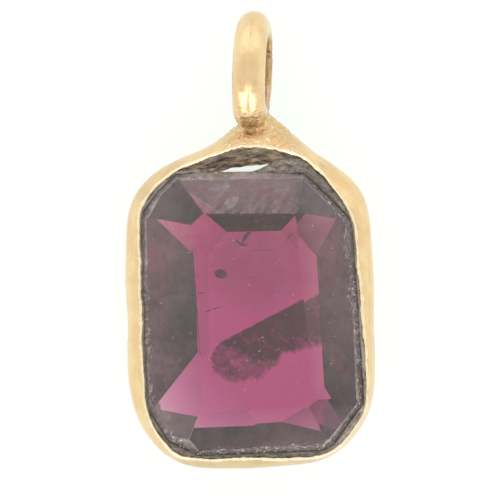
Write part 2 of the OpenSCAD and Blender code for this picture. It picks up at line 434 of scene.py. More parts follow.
def packedDirt():
    # Old polishing compound, dust and crumbs of stone, packed between rim and stone: dull, lumpy, grey-brown,
    # made paler at some angles as painted light against the shade of the narrow gap
    look = dirtLook
    material, tree, shader, spot = newMaterial("packed dirt")
    lay = put(tree, "ShaderNodeAttribute", attribute_name="lay").outputs["Vector"]
    pale = put(tree, "ShaderNodeAttribute", attribute_name="shade").outputs["Fac"]
    lumps = put(tree, "ShaderNodeTexNoise", {
        "Vector": lay, "Scale": look["lumps"], "Detail": 5, "Roughness": 0.7})
    high = put(tree, "ShaderNodeMapRange", {"Value": lumps, "From Min": 0.35, "From Max": 0.65})
    # painted light: the lumps are lifted where the gap lies in the rim's shade
    high = put(tree, "ShaderNodeMath", {0: high, 1: pale}, operation="MULTIPLY")
    colour = put(tree, "ShaderNodeMix", {0: high, 6: linear(look["low"]), 7: linear(look["high"])},
                 data_type="RGBA")
    crumbs = put(tree, "ShaderNodeTexVoronoi", {"Vector": spot, "Scale": look["crumbs"]})
    crumbs = put(tree, "ShaderNodeMapRange", {
        "Value": crumbs.outputs["Distance"], "From Min": 0.1, "From Max": 0.2, "To Min": 0.8, "To Max": 0})
    crumbs = put(tree, "ShaderNodeMath", {0: crumbs, 1: pale}, operation="MULTIPLY")
    colour = put(tree, "ShaderNodeMix", {0: crumbs, 6: colour.outputs[2], 7: linear(look["crumb"])},
                 data_type="RGBA")
    bump = put(tree, "ShaderNodeBump", {"Height": lumps, "Distance": look["depth"], "Strength": 0.9})
    wire(tree, shader, {"Roughness": look["roughness"], "Base Color": colour.outputs[2], "Normal": bump})
    return material


chippedLook = {
    # colours from the pits up to a near-white, a painted highlight on the chips that would catch the light
    "tones": ((0.34, "#605857"), (0.5, "#7a7070"), (0.6, "#989090"), (0.7, "#f0e9e3")),
    # the first colour is painted light, laid next to the gold against the rim's shade
    "paintedLight": "#b0a69a", "fray": 2.5, "depth": 0.00004, "roughness": 0.45,
    "chips": 13, "patches": 0.9,  # to a millimetre
}


def chippedEdge():
    # The garnet's own edge, knocked into countless small chips: frosted grey-brown, with dark pits,
    # near-white pinpoints that are painted highlights, and a paler tone next to the gold that is painted
    # light against the rim's shade
    look = chippedLook
    material, tree, shader, spot = newMaterial("chipped garnet edge")
    lay = put(tree, "ShaderNodeAttribute", attribute_name="lay").outputs["Vector"]
    broken = put(tree, "ShaderNodeTexNoise", {
        "Vector": lay, "Scale": look["chips"], "Detail": 4, "Roughness": 0.7})
    tone = put(tree, "ShaderNodeValToRGB", {0: broken})
    stops = tone.color_ramp.elements
    while len(stops) < len(look["tones"]):
        stops.new(0.5)
    for stop, (position, colour) in zip(stops, look["tones"]):
        stop.position = position
        stop.color = linear(colour)
    # painted light: a paler tone next to the gold, where the rim shades the edge
    dust = put(tree, "ShaderNodeAttribute", attribute_name="shade").outputs["Fac"]
    film = put(tree, "ShaderNodeAttribute", attribute_name="thickness").outputs["Fac"]
    colour = put(tree, "ShaderNodeMix", {0: dust, 6: tone, 7: linear(look["paintedLight"])},
                 data_type="RGBA")
    patches = put(tree, "ShaderNodeTexNoise", {"Vector": spot, "Scale": look["patches"], "Detail": 3})
    patches = put(tree, "ShaderNodeMapRange", {
        "Value": patches, "From Min": 0.4, "From Max": 0.6, "To Min": 0.7, "To Max": 1})
    cover = put(tree, "ShaderNodeMapRange", {
        "Value": broken, "From Min": 0.42, "From Max": 0.5, "To Min": 0.6, "To Max": 0.92})
    cover = put(tree, "ShaderNodeMath", {0: cover, 1: patches}, operation="MULTIPLY")
    frayed = put(tree, "ShaderNodeMath", {0: broken, 1: 0.5}, operation="SUBTRACT")
    frayed = put(tree, "ShaderNodeMath", {0: frayed, 1: look["fray"], 2: film},
                 operation="MULTIPLY_ADD")
    frayed = put(tree, "ShaderNodeMapRange", {"Value": frayed, "From Min": 0.25, "From Max": 0.5})
    cover = put(tree, "ShaderNodeMath", {0: cover, 1: frayed}, operation="MULTIPLY")
    bump = put(tree, "ShaderNodeBump", {"Height": broken, "Distance": look["depth"], "Strength": 0.6})
    wire(tree, shader, {"Roughness": look["roughness"], "IOR": garnetLook["ior"],
                        "Base Color": colour.outputs[2], "Alpha": cover, "Normal": bump})
    return material


veilLook = {
    "thin": "#b42a3c", "thick": "#561416", "swirls": 1.7, "fray": 1.5, "most": 0.9,
    "roughness": 0.6, "sheen": 0.1,
}


def veilFilm():
    # A healed fracture: a film of tiny fluid drops in the garnet that holds the light back, so it reads as a
    # dark red-brown cloud with a ragged, swirling edge
    look = veilLook
    material, tree, shader, spot = newMaterial("healed fracture film")
    film = put(tree, "ShaderNodeAttribute", attribute_name="thickness").outputs["Fac"]
    swirl = put(tree, "ShaderNodeTexNoise", {
        "Vector": spot, "Scale": look["swirls"], "Detail": 8, "Roughness": 0.68, "Distortion": 0.5})
    ragged = put(tree, "ShaderNodeMath", {0: swirl, 1: 0.5}, operation="SUBTRACT")
    cover = put(tree, "ShaderNodeMath", {0: ragged, 1: look["fray"], 2: film}, operation="MULTIPLY_ADD")
    cover = put(tree, "ShaderNodeMapRange", {
        "Value": cover, "From Min": 0.2, "From Max": 0.95, "To Min": 0, "To Max": look["most"]})
    edge = put(tree, "ShaderNodeMapRange", {"Value": film, "From Min": 0.02, "From Max": 0.25})
    cover = put(tree, "ShaderNodeMath", {0: cover, 1: edge}, operation="MULTIPLY")
    colour = put(tree, "ShaderNodeMix", {0: cover, 6: linear(look["thin"]), 7: linear(look["thick"])},
                 data_type="RGBA")
    wire(tree, shader, {"Roughness": look["roughness"], "Specular IOR Level": look["sheen"],
                        "Base Color": colour.outputs[2], "Alpha": cover})
    return material


filmLooks = {  # most is how much light a film stops, lay the way it is streaked, gap how broken it is
    "dark fluid film": {"low": "#4a1526", "high": "#1c0a10", "most": 0.62, "lay": 0, "gap": 0},
    "rosy feather film": {"low": "#b04a6a", "high": "#c87890", "most": 0.7, "lay": -0.9, "gap": 0},
    "streaked feather film": {"low": "#4a3a40", "high": "#7a666c", "most": 0.75, "lay": -0.95, "gap": 0.42},
    # the next two are painted shade, not inclusions: films that dim the stone's upper middle and its lower
    # corners
    "fluid cloud film": {"low": "#8c1818", "high": "#a42828", "most": 0.34, "lay": -0.3, "gap": -0.35},
    "grey haze film": {"low": "#725c62", "high": "#887176", "most": 0.85, "lay": -0.95, "gap": -0.35},
}


def filmOf(name):
    # A thin, broken film of fluid or fracture, as dull as the veil and streaked along one direction; two of
    # these are not inclusions but painted shade that dims parts of the stone
    look = filmLooks[name]
    most, gap = look["most"], look["gap"]
    material, tree, shader, spot = newMaterial(name)
    turned = put(tree, "ShaderNodeMapping", {"Vector": spot, "Rotation": (0, 0, look["lay"])})
    drawn = put(tree, "ShaderNodeMapping", {"Vector": turned, "Scale": (1, 3.2, 1)})
    streak = put(tree, "ShaderNodeTexNoise", {"Vector": drawn, "Scale": 1.2, "Detail": 4})
    cover = put(tree, "ShaderNodeMapRange", {
        "Value": streak, "From Min": 0.3 + gap / 3, "From Max": 0.7 - gap / 3,
        "To Min": max(0, 0.4 - gap) * most, "To Max": most})
    film = put(tree, "ShaderNodeAttribute", attribute_name="thickness").outputs["Fac"]
    cover = put(tree, "ShaderNodeMath", {0: cover, 1: film}, operation="MULTIPLY")
    colour = put(tree, "ShaderNodeMix", {0: streak, 6: linear(look["low"]), 7: linear(look["high"])},
                 data_type="RGBA")
    wire(tree, shader, {"Roughness": veilLook["roughness"], "Specular IOR Level": veilLook["sheen"],
                        "Base Color": colour.outputs[2], "Alpha": cover})
    return material


gritLooks = {
    "household dust": {"low": "#b4a6a4", "high": "#f2e8e2", "roughness": 0.8},
    # near-white: painted glints on the stone's chipped edge
    "bright fracture chips": {"low": "#a89c96", "high": "#f4eee8", "roughness": 0.2},
}


def paleGrit(name):
    # Lint and skin flakes are dull and greyish, while the chips on the garnet's edge are near-white: a
    # painted glint
    look = gritLooks[name]
    material, tree, shader, spot = newMaterial(name)
    tone = put(tree, "ShaderNodeTexNoise", {"Vector": spot, "Scale": 2, "Detail": 2})
    colour = put(tree, "ShaderNodeMix", {0: tone, 6: linear(look["low"]), 7: linear(look["high"])},
                 data_type="RGBA")
    wire(tree, shader, {"Roughness": look["roughness"], "Base Color": colour.outputs[2]})
    return material


# Gold setting. A zone of its skin is written as where it starts and where it ends, or as three numbers: its
# middle, half its width and its soft edge. All are in mm, and angles are in degrees around the stone.
settingShape = {
    "voxel": 0.078,
    "lip": 0.09, "lipAt": 3.01, "lipReach": 8.2,  # how much thicker, its height, and its end at the top
    # how far each unevenness moves the skin
    "wave": 0.03, "ripple": 0.01, "pitting": 0.05, "crumple": 0.12, "lean": 0.26,
    "seam": 0.04, "hollow": 0.12,
    # the loop: the middle of its hole, its axis and radius, and its limits with room to spare
    "loopAt": (0.12, 8.28, 2.932), "loopAxis": (0.995588, -0.034767, 0.087156), "loopRadius": 2.94,
    "loopWithin": 3.05, "stripWithin": 0.95, "loopFoot": (5.3, 5.9), "loopBack": (1.5, 3.1),
    "seams": ((9.2, 0.02, 0.05), (9.0, 0.02, 0.05)),
    # the inner wall, and the part of it under the arch that has been pushed in
    "wallTop": (3.1, 3.3), "wallBelow": 3.0, "wallTo": 5.2, "wallRoom": 0.12, "wallSoft": (0.02, 0.1),
    "wallFaces": (-0.1, 0.3),  # how squarely a place has to face the stone
    "arch": (92, 24, 8), "leanUp": (0.6, 2.4), "leanEase": (92, 103),
    # the solder between collet and loop, and the half moon at the loop's foot
    "jointAcross": (0.5, 1.3, 1.2), "jointFrom": (3.7, 4.6), "jointTo": (5.9, 6.5),
    "moonTop": (5.87, 5.97), "moonAcross": (0, 0.42, 0.08), "moonFront": (2.2, 2.6),
    "moonEdge": 5.93, "moonTall": 0.76, "moonHalf": 0.46, "moonSoft": (0.04, 0.06),
    "besideLoop": 5,  # sets the band's pattern apart from the loop's
    "dirt": {  # how strong each kind is, and where it lies
        # the amounts for the half moon and for the loop's back are painted shade, and the others are dirt
        "wall": 0.8, "moon": 0.3, "seam": 0.9, "farSide": 0.3, "dents": 0.2, "dentsFrom": (0.2, 0.65),
        # three bands of dirt across the right half of the loop's back, and a line along its left edge that is
        # painted shade
        "foot": 0.75, "footAt": (6.8, 0.5, 0.2), "footSide": (0.55, 0.7), "lowerAt": (6.35, 0.22, 0.15),
        "upper": 0.45, "upperAt": (9.55, 0.25, 0.12), "bandsFrom": (0.2, 0.45),
        "edge": 0.7, "edgeSide": (0.72, 0.79), "edgeAt": (8.1, 0.8, 0.5),
        # painted shade in the half moon, on the loop's back, at the upper left corner and at the lower end
        "moonShade": 0.36, "farShade": 0.36,
        "corner": 0.14, "cornerAt": (128, 7, 9), "cornerUp": (1.6, 2.6),
        "under": 0.24, "underTo": (-10.86, -10.66), "underUp": (1.2, 2.2),
        # the crease along the strip, on each side of its highest place, and fainter on the stone's side
        "creaseUp": (3.2, 3.6), "creaseTop": (9.9, 0.7, 0.3), "creaseLow": (7.0, 0.75, 0.3), "fainter": 0.8,
    },
}


def inWallAmount(p, normal, a, reach):
    shape = settingShape
    if reach < at(wallLine, a) + shape["wallRoom"] and p.z < shape["wallBelow"] and p.y < shape["wallTo"]:
        return smooth(-normal.x * math.cos(a) - normal.y * math.sin(a), *shape["wallFaces"])
    rim = at(rimLine, a)
    inner, outer = shape["wallSoft"]
    return (1 - smooth(reach, rim - inner, rim + outer)) * (1 - smooth(p.z, *shape["wallTop"]))


def moonAmount(p):  # a half-moon hollow where the loop's front meets the solder
    shape = settingShape
    edge = shape["moonEdge"] - shape["moonTall"] * max(0, 1 - (p.x / shape["moonHalf"]) ** 2) ** 0.5
    lower, upper = shape["moonSoft"]
    inside = (1 - smooth(p.y, *shape["moonTop"])) * smooth(p.y, edge - lower, edge + upper)
    return inside * near(p.x, *shape["moonAcross"]) * smooth(p.z, *shape["moonFront"])


def outerSoilAndShade(p, side, onLoop, farSide):  # what has settled on the outside of the band and the loop, with painted shade along the loop's left edge
    dirt = settingShape["dirt"]
    foot = near(p.y, *dirt["footAt"]) * (1 - smooth(side, *dirt["footSide"])) * dirt["foot"]
    foot = max(foot, near(p.y, *dirt["lowerAt"]), dirt["upper"] * near(p.y, *dirt["upperAt"]))
    foot *= farSide * smooth(side, *dirt["bandsFrom"])
    edge = smooth(-side, *dirt["edgeSide"]) * near(p.y, *dirt["edgeAt"]) * onLoop * dirt["edge"]
    dents = smooth(noise.noise(p * 1.3 + Vector((4, 0, 0))), *dirt["dentsFrom"])
    dents = dents * dirt["dents"] * (1 - onLoop)
    return max(foot, edge, dents)


def makeSetting(material):
    shape = settingShape
    dirt = shape["dirt"]
    piece = mergedCopy(goldNode)
    for vertex in piece.data.vertices:  # the thin lip behind the rim is thickened, or the remesh tears it
        x, y, z = vertex.co
        reach = math.hypot(x, y - stoneMiddle)
        if abs(z - shape["lipAt"]) < 0.01 and (reach < shape["lipReach"] or y < 0):
            inward = 1 - shape["lip"] / reach
            vertex.co = (x * inward, stoneMiddle + (y - stoneMiddle) * inward, z)
    addModifier(piece, "REMESH", mode="VOXEL", voxel_size=shape["voxel"], adaptivity=0)
    addModifier(piece, "SMOOTH", factor=0.5, iterations=2)
    mesh = piece.data
    amounts = ("soilAndShade", "solder", "creased", "paintedShade")
    for name in amounts:  # all are made before any is fetched, because a new one can move the others
        mesh.attributes.new(name, "FLOAT", "POINT")
    mesh.attributes.new("lay", "FLOAT_VECTOR", "POINT")
    soilAndShade, solder, creased, paintedShade = (mesh.attributes[name].data for name in amounts)
    lay = mesh.attributes["lay"].data
    loopAt, loopAxis = Vector(shape["loopAt"]), Vector(shape["loopAxis"])
    normals = [Vector(n.vector) for n in mesh.vertex_normals]
    low, high = (corner / mm for corner in cadBox)
    for vertex, normal in zip(mesh.vertices, normals):
        index = vertex.index
        p = vertex.co.copy()
        a = math.atan2(p.y - stoneMiddle, p.x)
        degree = math.degrees(a)
        reach = math.hypot(p.x, p.y - stoneMiddle)
        side = (p - loopAt).dot(loopAxis)  # across the loop's strip
        fromHole = p - loopAt - loopAxis * side
        isLoop = fromHole.length < shape["loopWithin"] and abs(side) < shape["stripWithin"]
        onLoop = smooth(p.y, *shape["loopFoot"]) * (1 if isLoop else 0)
        farSide = onLoop * (1 - smooth(p.z, *shape["loopBack"]))
        seam = max(near(p.y, *place) for place in shape["seams"]) * farSide
        inWall = inWallAmount(p, normal, a, reach)
        arch = near(degree, *shape["arch"]) * inWall
        joint = near(p.x, *shape["jointAcross"]) * smooth(p.y, *shape["jointFrom"])
        joint = joint * (1 - smooth(p.y, *shape["jointTo"])) * (1 - inWall)
        moon = moonAmount(p)
        folded = Vector((p.x * 1.1, p.y * 1.1, p.z * 3))
        push = shape["wave"] * (noise.noise(p * 0.55) - 0.3)
        push += shape["ripple"] * noise.noise(p * 2.1)
        push += shape["pitting"] * joint * (rough(p, ((5, 1), (9, 0.6))) - 0.3)
        push += shape["crumple"] * arch * rough(folded, ((1.2, 1), (2.7, 0.7)))
        push -= shape["seam"] * seam
        push -= shape["hollow"] * moon
        p += normal * push
        if arch > 0:
            deep = arch * (1 - smooth(p.z, *shape["leanUp"]))  # the old wall leans in behind the stone
            lean = shape["lean"] * (1 - 0.4 * smooth(degree, *shape["leanEase"])) * deep
            p.x -= math.cos(a) * lean
            p.y -= math.sin(a) * lean
        for axis in range(3):  # nothing passes the box of the CAD nodes
            p[axis] = min(high[axis], max(low[axis], p[axis]))
        vertex.co = p
        # dirt colour on the wall, seams and dents, and painted shade in the half moon and on the loop's back
        soilAndShade[index].value = max(inWall * dirt["wall"], dirt["moon"] * moon, dirt["seam"] * seam,
                                outerSoilAndShade(p, side, onLoop, farSide), dirt["farSide"] * farSide)
        corner = dirt["corner"] * near(degree, *dirt["cornerAt"]) * smooth(p.z, *dirt["cornerUp"])
        under = dirt["under"] * (1 - smooth(p.y, *dirt["underTo"])) * smooth(p.z, *dirt["underUp"])
        # painted shade: the half moon, the loop's back, the upper left corner and the lower end are darkened
        paintedShade[index].value = max(dirt["moonShade"] * moon, dirt["farShade"] * farSide, corner, under)
        solder[index].value = max(joint * (1 - 0.35 * moon), 0.1)  # the gold has a few pits everywhere
        rows = max(near(p.y, *dirt["creaseTop"]), dirt["fainter"] * near(p.y, *dirt["creaseLow"]))
        creased[index].value = onLoop * smooth(p.z, *dirt["creaseUp"]) * rows
        # patterns run along the strip of the loop and along the band
        turn = fromHole / shape["loopRadius"] if onLoop else Vector((0, math.cos(a), math.sin(a)))
        across = side if onLoop else shape["besideLoop"] + p.z + (reach - at(rimLine, a)) * 0.5
        lay[index].vector = (across, aboutStone * turn.y, aboutStone * turn.z)
    mesh.update()
    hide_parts("setting")
    return finishPiece(piece, "goldSetting", material)


# Rings that follow the rim and the stone
def ring(place):  # from the angles around the stone and around its own section, place gives reach and height
    middle = 4  # the radius of the torus that it starts from
    small = 2.6  # mm: patterns are laid on a circle this small, which stretches them along the ring
    bpy.ops.mesh.primitive_torus_add(
        major_segments=240, minor_segments=8, major_radius=middle, minor_radius=middle / 4)
    piece = bpy.context.object
    bpy.ops.object.mode_set(mode="EDIT")
    bpy.ops.mesh.select_all(action="SELECT")
    bpy.ops.mesh.subdivide(number_cuts=2)
    bpy.ops.object.mode_set(mode="OBJECT")
    lay = piece.data.attributes.new("lay", "FLOAT_VECTOR", "POINT").data
    for vertex in piece.data.vertices:
        a = math.atan2(vertex.co.y, vertex.co.x)
        b = math.atan2(vertex.co.z, math.hypot(vertex.co.x, vertex.co.y) - middle)
        reach, height = place(a, b)
        vertex.co = (reach * math.cos(a), stoneMiddle + reach * math.sin(a), height)
        across = reach - at(girdleLine, a) + 0.5 * height
        lay[vertex.index].vector = (small * math.cos(a), small * math.sin(a), across)
    return piece


def topOf(skin, a, reach):
    spot = Vector((reach * math.cos(a), stoneMiddle + reach * math.sin(a), above))
    where = skin.ray_cast(spot * mm, down)[0]
    return where.z / mm if where else 0


def crestOf(skin):  # the inner edge of the rim's top, once for each degree
    shape = edgeShape
    edge = []
    for degree in range(360):
        a = math.radians(degree)
        reach, top = at(rimLine, a) - shape["searchIn"], 0
        while top < shape["crest"] and reach < at(rimLine, a) + shape["searchOut"]:
            reach += shape["step"]
            top = topOf(skin, a, reach)
        edge.append(reach)
    return edge


edgeShape = {
    "out": 0.06, "wide": 0.085, "tall": 0.032, "sink": 0.012, "inset": 0.02, "slope": 0.6,
    "crest": 3.2, "searchIn": 0.2, "searchOut": 0.4, "step": 0.01,  # the height that is looked for, and where
}


def makeBurnishedEdge(material, setting):
    shape = edgeShape
    mesh = setting.data
    skin = BVHTree.FromPolygons([v.co for v in mesh.vertices], [f.vertices for f in mesh.polygons])
    edge = crestOf(skin)

    def place(a, b):
        ragged = 1 + rough(aroundStone(a), ((2, 0.5), (6, 0.45)))
        reach = at(edge, a) + shape["out"] + math.cos(b) * shape["wide"] * ragged
        held = max(reach, at(edge, a) + shape["inset"])
        height = topOf(skin, a, held) - shape["slope"] * (held - reach) - shape["sink"]
        return reach, height + math.sin(b) * shape["tall"]

    return finishPiece(ring(place), "burnishedEdge", material)


dirtShape = {
    "height": 3.1, "tall": 0.17, "overStone": 0.08, "overRim": 0.06,
    "lumps": ((1.6, 0.05), (5, 0.035)),  # how many to a mm, and how tall
    "filled": 0.1, "filledAt": (322, 14, 10),  # more of it lies in one corner
    # the open slit under the arch, where little is left: its angles, and how narrow and low the dirt is there
    "slitFrom": (68.4, 90.4), "slitTo": (103.4, 123.4), "narrow": 0.09, "thin": 0.6, "sunk": 0.2,
    # how pale it is, at angles around the stone: painted light that lifts it where the rim and stone shade
    # the gap
    "pale": ((0, 1.8), (30, 1.8), (48, 0.9), (60, 0.5), (72, 0.95), (125, 1.3), (160, 1.7), (190, 1.6),
             (215, 1.35), (245, 0.85), (290, 0.85), (305, 1.5), (325, 1.9), (345, 1.9), (360, 1.8)),
}


def makePackedDirt(material):
    shape = dirtShape

    def place(a, b):
        degree = math.degrees(a) % 360
        inner = min(at(girdleLine, a) - shape["overStone"], at(rimLine, a) - shape["overRim"])
        outer = at(rimLine, a) + shape["overRim"]
        slit = smooth(degree, *shape["slitFrom"]) * (1 - smooth(degree, *shape["slitTo"]))
        outer += (inner + shape["narrow"] - outer) * slit
        lump = rough(aroundStone(a), shape["lumps"])
        reach = (inner + outer) / 2 + math.cos(b) * (outer - inner) / 2
        middle = shape["height"] + near(degree, *shape["filledAt"]) * shape["filled"] - shape["sunk"] * slit
        tall = shape["tall"] * (1 - shape["thin"] * slit)
        return reach, middle + math.sin(b) * (tall + lump) + lump * 0.5

    piece = ring(place)
    shade = piece.data.attributes.new("shade", "FLOAT", "POINT").data
    for vertex in piece.data.vertices:
        degree = math.degrees(math.atan2(vertex.co.y - stoneMiddle, vertex.co.x)) % 360
        shade[vertex.index].value = along(shape["pale"], degree)
    return finishPiece(piece, "packedDirt", material)


chippedShape = {
    "lift": 0.008, "under": 0.02, "rough": 0.012, "chips": 7, "creep": 0.13, "beside": 2.95,
    "fade": 0.3,  # over how much of its width the inner edge thins out
    "paintedLight": 0.62, "lightFrom": 0.32, "lightTo": 0.06,  # how much painted light lifts it against the rim's shade, and how far from the gold
    # how badly the edge is worn, at angles around the stone
    "worn": ((0, 1.4), (30, 1.5), (50, 1.1), (62, 0.15), (118, 0.15), (128, 0.4), (140, 0.6), (152, 1.1),
             (180, 1.2), (212, 0.85), (235, 0.85), (270, 1.2), (300, 1.1), (325, 0.8), (345, 0.9),
             (360, 1.4)),
}


def makeChippedEdge(material):
    shape = chippedShape

    def edges(a):
        creep = shape["creep"] * (1 + rough(aroundStone(a), ((0.8, 1), (5, 0.6))))
        return at(crownLine, a) - creep * along(shape["worn"], math.degrees(a) % 360), at(girdleLine, a)

    def place(a, b):
        inner, outer = edges(a)
        reach = inner + (outer - inner) * (1 + math.cos(b)) / 2
        spot = Vector((math.cos(a) * reach, stoneMiddle + math.sin(a) * reach, 0))
        skin, _ = surfaceAt(spot.x, spot.y)
        rise = shape["lift"] + shape["rough"] * max(-0.3, noise.noise(spot * shape["chips"]))
        lift = rise if math.sin(b) > 0 else -shape["under"]
        return reach, (skin.z if skin else shape["beside"]) + lift

    piece = ring(place)
    mesh = piece.data
    mesh.attributes.new("thickness", "FLOAT", "POINT")
    mesh.attributes.new("shade", "FLOAT", "POINT")
    film, shade = mesh.attributes["thickness"].data, mesh.attributes["shade"].data
    for vertex in mesh.vertices:
        a = math.atan2(vertex.co.y - stoneMiddle, vertex.co.x)
        inner, outer = edges(a)
        worn = along(shape["worn"], math.degrees(a) % 360)
        reach = math.hypot(vertex.co.x, vertex.co.y - stoneMiddle)
        film[vertex.index].value = worn * smooth(reach, inner, inner + shape["fade"])
        shown = min(outer, at(rimLine, a))
        # painted light against the rim's shade, strongest next to the gold
        dust = smooth(reach, shown - shape["lightFrom"], shown - shape["lightTo"])
        shade[vertex.index].value = shape["paintedLight"] * dust
    return finishPiece(piece, "chippedEdge", material)


# Stone. Its facets are told apart by how far they face up, and by the angle that they look to.
stoneWear = {
    "table": (0.05, 0.13), "tableEnds": (-7, 1),  # how worn its lower and upper ends are, and their places
    "side": 2.6, "streaky": 1.0, "edge": 2.8,
    "flat": 0.995, "crownUp": 0.8, "edgeUp": 0.2, "deepUp": -0.87, "tipUp": -0.99,
    "crown": ((0, 0.78), (46, 0.5), (90, 1.25), (134, 0.4), (184, 0.88), (214, 2.6), (240, 1.5), (272, 0.85),
              (326, 0.4), (360, 0.78)),
    "deepCorner": ((0, 0), (20, 0.55), (70, 0.55), (90, 0), (110, 0.7), (170, 0.7), (190, 0), (360, 0)),
    # the crown is worn most at its outer edge and least at its lower end, which reaches higher on the right
    "outer": 1.25, "inner": 0.45, "least": 0.35, "crownEnds": (-9.5, -2), "rightShift": 2.4,
    "rightFrom": 345, "rightTo": 60, "topFrom": 70, "topTo": 110,
    "tip": (0.8, 2.6), "sideUp": -0.1,  # the pavilion's tip is clean
    "joined": 0.6, "rounding": 0.018,  # facets within this angle are one, and how far their edges are rounded
}


def makeStone(material):
    shape = stoneWear
    piece = mergedCopy(stoneNode)
    bpy.ops.object.mode_set(mode="EDIT")
    bpy.ops.mesh.select_all(action="SELECT")
    bpy.ops.mesh.dissolve_limited(angle_limit=math.radians(shape["joined"]))
    bpy.ops.mesh.bevel(offset=shape["rounding"], segments=1, affect="EDGES")
    bpy.ops.object.mode_set(mode="OBJECT")
    mesh = piece.data
    mesh.attributes.new("wear", "FLOAT", "CORNER")
    mesh.attributes.new("streaky", "FLOAT", "CORNER")
    wear, streaky = mesh.attributes["wear"].data, mesh.attributes["streaky"].data
    least = shape["least"]
    for face in mesh.polygons:
        up = face.normal.z
        looks = math.degrees(math.atan2(face.normal.y, face.normal.x)) % 360
        if up > shape["crownUp"]:
            amount = along(shape["crown"], looks)
        elif up > shape["edgeUp"]:
            amount = shape["edge"]
        elif up > shape["deepUp"]:
            amount = shape["side"]
        elif up > shape["tipUp"]:
            amount = along(shape["deepCorner"], looks)
        else:
            amount = 0
        shift = shape["rightShift"] if looks < shape["rightTo"] or looks > shape["rightFrom"] else 0
        for corner in face.loop_indices:
            place = mesh.vertices[mesh.loops[corner].vertex_index].co
            here = amount
            if up > shape["flat"]:
                low, high = shape["table"]
                here = low + (high - low) * smooth(place.y, *shape["tableEnds"])
            elif up > shape["crownUp"] and shape["topFrom"] < looks < shape["topTo"]:
                streaky[corner].value = shape["streaky"] * smooth(place.z, *crownHeight)
            elif up > shape["crownUp"]:
                here *= shape["outer"] - (shape["outer"] - shape["inner"]) * smooth(place.z, *crownHeight)
                here *= least + (1 - least) * smooth(place.y - shift, *shape["crownEnds"])
            elif shape["deepUp"] < up < shape["sideUp"]:
                here *= smooth(place.z, *shape["tip"])
            wear[corner].value = here
    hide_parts("stone")
    return finishPiece(piece, "garnet", material, angle=3)


# Inclusions, and films in the stone that are painted shade
insideMargin = 0.08  # mm: how near to the skin of the stone an inclusion may come
veilShape = {
    "start": (-1.81, -5.17), "end": (2.45, -2.96), "length": 8.6, "before": 1.1, "depth": 4.6,
    "low": 1.1, "rise": 0.17, "dip": 0.13, "swirl": 0.08,
    # its frayed edges, as how many bumps to a mm and how deep, and how soft each edge is
    "lowerFray": ((1.6, 0.25), (4, 0.12)), "leftFray": ((2.3, 0.4), (6, 0.3)),
    "lowerSoft": (0.4, 0.15), "leftSoft": (0.08, 0.12), "upperSoft": (-0.02, 0.04),
    "thinnest": 0.68, "thickens": (-0.4, 1.2),
    # how far the veil reaches down from its straight upper edge, at points along that edge
    "reach": ((-0.6, 1.5), (-0.3, 2.0), (0, 2.25), (0.5, 2.45), (1.25, 2.6), (2, 2.45), (2.6, 2.25),
              (3.3, 2.1), (4.1, 2.25), (4.9, 2.6), (5.6, 4.1), (7.6, 4.5)),
    # where its ragged left end begins, at distances from that edge
    "left": ((0, 0.35), (0.2, -0.1), (0.5, -0.5), (1.3, -0.65), (1.9, -0.4), (2.3, 0)),
}


def insideStone(p):
    for direction in ((0, 0, -1), (0, 0, 1), (1, 0, 0), (-1, 0, 0), (0, 1, 0), (0, -1, 0)):
        where, _, _, distance = stoneSkin.ray_cast(p * mm, Vector(direction))
        if where is None or distance / mm < insideMargin:
            return False
    return True


def trimToStone(piece):
    outside = [not insideStone(vertex.co) for vertex in piece.data.vertices]
    pick(piece)
    bpy.ops.object.mode_set(mode="EDIT")
    bpy.ops.mesh.select_all(action="DESELECT")
    bpy.ops.object.mode_set(mode="OBJECT")
    for vertex, out in zip(piece.data.vertices, outside):
        vertex.select = out
    bpy.ops.object.mode_set(mode="EDIT")
    bpy.ops.mesh.delete(type="VERT")
    bpy.ops.object.mode_set(mode="OBJECT")


def makeVeil(material):
    shape = veilShape
    start, end = Vector(shape["start"]), Vector(shape["end"])
    forward = (end - start).normalized()
    across = Vector((forward.y, -forward.x))
    bpy.ops.mesh.primitive_grid_add(x_subdivisions=110, y_subdivisions=44, size=1)
    piece = bpy.context.object
    mesh = piece.data
    film = mesh.attributes.new("thickness", "FLOAT", "POINT").data
    for vertex in mesh.vertices:
        u = (vertex.co.x + 0.5) * shape["length"] - shape["before"]
        v = (vertex.co.y + 0.5) * shape["depth"]
        flat = start + forward * u + across * v
        height = shape["low"] + shape["rise"] * u + shape["dip"] * v
        p = Vector((flat.x, flat.y, height))
        p.z += shape["swirl"] * noise.noise(p * 1.1)
        vertex.co = p
        lowest = along(shape["reach"], u)
        before, after = shape["lowerSoft"]
        lowerEdge = 1 - smooth(v + rough(p, shape["lowerFray"]), lowest - before, lowest + after)
        leftEnd = along(shape["left"], v) + rough(p, shape["leftFray"])
        before, after = shape["leftSoft"]
        upperEdge = smooth(v, *shape["upperSoft"]) * smooth(u, leftEnd - before, leftEnd + after)
        thick = smooth(u - 0.6 * v + 0.3 * noise.noise(p * 0.9), *shape["thickens"])
        dense = shape["thinnest"] + (1 - shape["thinnest"]) * thick
        film[vertex.index].value = lowerEdge * upperEdge * dense
    trimToStone(piece)
    return finishPiece(piece, "healedVeil", material)


def fillFilm(piece, values=None):
    film = piece.data.attributes.new("thickness", "FLOAT", "POINT")
    film.data.foreach_set("value", values or [1.0] * len(piece.data.vertices))


